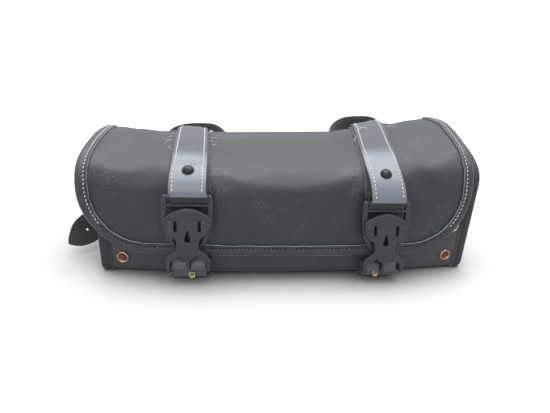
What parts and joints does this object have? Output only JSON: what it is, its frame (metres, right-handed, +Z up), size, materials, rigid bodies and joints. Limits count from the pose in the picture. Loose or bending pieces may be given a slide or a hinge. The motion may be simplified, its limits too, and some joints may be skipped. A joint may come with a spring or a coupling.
{
  "type": "motorcycle tail bag",
  "caption": "Soft barrel tool bag with a round-cornered wrap-over lid, buckled front straps with side-release buckles, riveted corners and mounting straps at the back.",
  "frame": {"origin": "on the flat base, at the middle of the body's length and midway between the front and back panels", "axes": "+X towards the bag's right end as seen from the front, +Y towards the back (the mounting straps), +Z up"},
  "size_m": [0.3073, 0.1516, 0.107],
  "materials": {
    "leather": "black synthetic leather, fine grain, satin",
    "tape": "folded leather binding tape, satin",
    "leather_strap": "smooth strap leather, semi-gloss",
    "webbing": "woven backing, matt black",
    "board": "grey stiffener board",
    "buckle_plastic": "moulded black plastic, satin",
    "black_metal": "black lacquered metal",
    "copper": "polished copper",
    "brass": "polished brass",
    "steel": "dull nickel-plated steel wire"
  },
  "bodies": {
    "bag": {"body_panel": "leather", "base_board": "board", "front_board": "board", "back_board": "board", "end_panel_left": "leather", "end_panel_right": "leather", "end_binding_left": "tape", "end_binding_right": "tape", "lid_back_strip": "leather", "lower_strap_left": "leather_strap", "brass_rivet_left": "brass", "corner_rivet_lower_left": "copper", "corner_rivet_upper_left": "copper", "mount_strap_left": "webbing", "anchor_strap_left": "webbing", "strap_buckle_left": "steel", "lower_strap_right": "leather_strap", "brass_rivet_right": "brass", "corner_rivet_lower_right": "copper", "corner_rivet_upper_right": "copper", "mount_strap_right": "webbing", "anchor_strap_right": "webbing", "strap_buckle_right": "steel"},
    "lid": {"lid_panel": "leather", "lid_binding": "tape", "strap_underlay_left": "webbing", "front_strap_left": "leather_strap", "strap_rivet_left": "black_metal", "strap_underlay_right": "webbing", "front_strap_right": "leather_strap", "strap_rivet_right": "black_metal"},
    "plug_left": {"buckle_plug_left": "buckle_plastic"},
    "arm_left_outer": {"buckle_arm_left_outer": "buckle_plastic"},
    "arm_left_inner": {"buckle_arm_left_inner": "buckle_plastic"},
    "socket_left": {"buckle_socket_left": "buckle_plastic"},
    "prong_left": {"buckle_prong_left": "steel"},
    "keeper_left": {"strap_keeper_left": "leather_strap"},
    "plug_right": {"buckle_plug_right": "buckle_plastic"},
    "arm_right_outer": {"buckle_arm_right_outer": "buckle_plastic"},
    "arm_right_inner": {"buckle_arm_right_inner": "buckle_plastic"},
    "socket_right": {"buckle_socket_right": "buckle_plastic"},
    "prong_right": {"buckle_prong_right": "steel"},
    "keeper_right": {"strap_keeper_right": "leather_strap"}
  },
  "joints": [
    {"name": "lid_open", "type": "hinge", "parent": "bag", "child": "lid", "pos_m": [0, 0.042, 0.084], "axis": [-0.9996, 0, -0.03], "range_deg": [0, 95], "deforming": ["lid_panel", "lid_binding"]},
    {"name": "plug_swing_left", "type": "hinge", "parent": "lid", "child": "plug_left", "pos_m": [-0.0725, -0.0696, 0.06463], "axis": [-1, 0, 0], "range_deg": [0, 60]},
    {"name": "arm_squeeze_left", "type": "hinge", "parent": "plug_left", "child": "arm_left_outer", "pos_m": [-0.0833, -0.0696, 0.0518], "axis": [0, -1, 0], "range_deg": [0, 4], "deforming": ["buckle_arm_left_outer"]},
    {"name": "arm_follow_left", "type": "hinge", "parent": "plug_left", "child": "arm_left_inner", "pos_m": [-0.0617, -0.0696, 0.0518], "axis": [0, 1, 0], "range_deg": [0, 4], "deforming": ["buckle_arm_left_inner"]},
    {"name": "socket_swing_left", "type": "hinge", "parent": "bag", "child": "socket_left", "pos_m": [-0.0725, -0.0654, 0.0136], "axis": [1, 0, 0], "range_deg": [0, 60], "stiffness_Nm_per_rad": 0.05},
    {"name": "prong_swing_left", "type": "hinge", "parent": "bag", "child": "prong_left", "pos_m": [-0.115, 0.0583, 0.056], "axis": [0, 0, 1], "range_deg": [0, 12]},
    {"name": "keeper_slide_left", "type": "slide", "parent": "bag", "child": "keeper_left", "axis": [1, 0, 0], "range_m": [-0.002, 0.004]},
    {"name": "plug_swing_right", "type": "hinge", "parent": "lid", "child": "plug_right", "pos_m": [0.0645, -0.0696, 0.06126], "axis": [-1, 0, 0], "range_deg": [0, 60]},
    {"name": "arm_squeeze_right", "type": "hinge", "parent": "plug_right", "child": "arm_right_outer", "pos_m": [0.0753, -0.0696, 0.0486], "axis": [0, 1, 0], "range_deg": [0, 4], "deforming": ["buckle_arm_right_outer"]},
    {"name": "arm_follow_right", "type": "hinge", "parent": "plug_right", "child": "arm_right_inner", "pos_m": [0.0537, -0.0696, 0.0486], "axis": [0, -1, 0], "range_deg": [0, 4], "deforming": ["buckle_arm_right_inner"]},
    {"name": "socket_swing_right", "type": "hinge", "parent": "bag", "child": "socket_right", "pos_m": [0.0645, -0.0654, 0.0104], "axis": [1, 0, 0], "range_deg": [0, 60], "stiffness_Nm_per_rad": 0.05},
    {"name": "prong_swing_right", "type": "hinge", "parent": "bag", "child": "prong_right", "pos_m": [0.037, 0.0583, 0.056], "axis": [0, 0, 1], "range_deg": [0, 12]},
    {"name": "keeper_slide_right", "type": "slide", "parent": "bag", "child": "keeper_right", "axis": [1, 0, 0], "range_m": [-0.002, 0.004]}
  ],
  "couplings": [
    {"joint": "arm_follow_left", "follows": "arm_squeeze_left", "ratio": 1},
    {"joint": "arm_follow_right", "follows": "arm_squeeze_right", "ratio": 1}
  ]
}
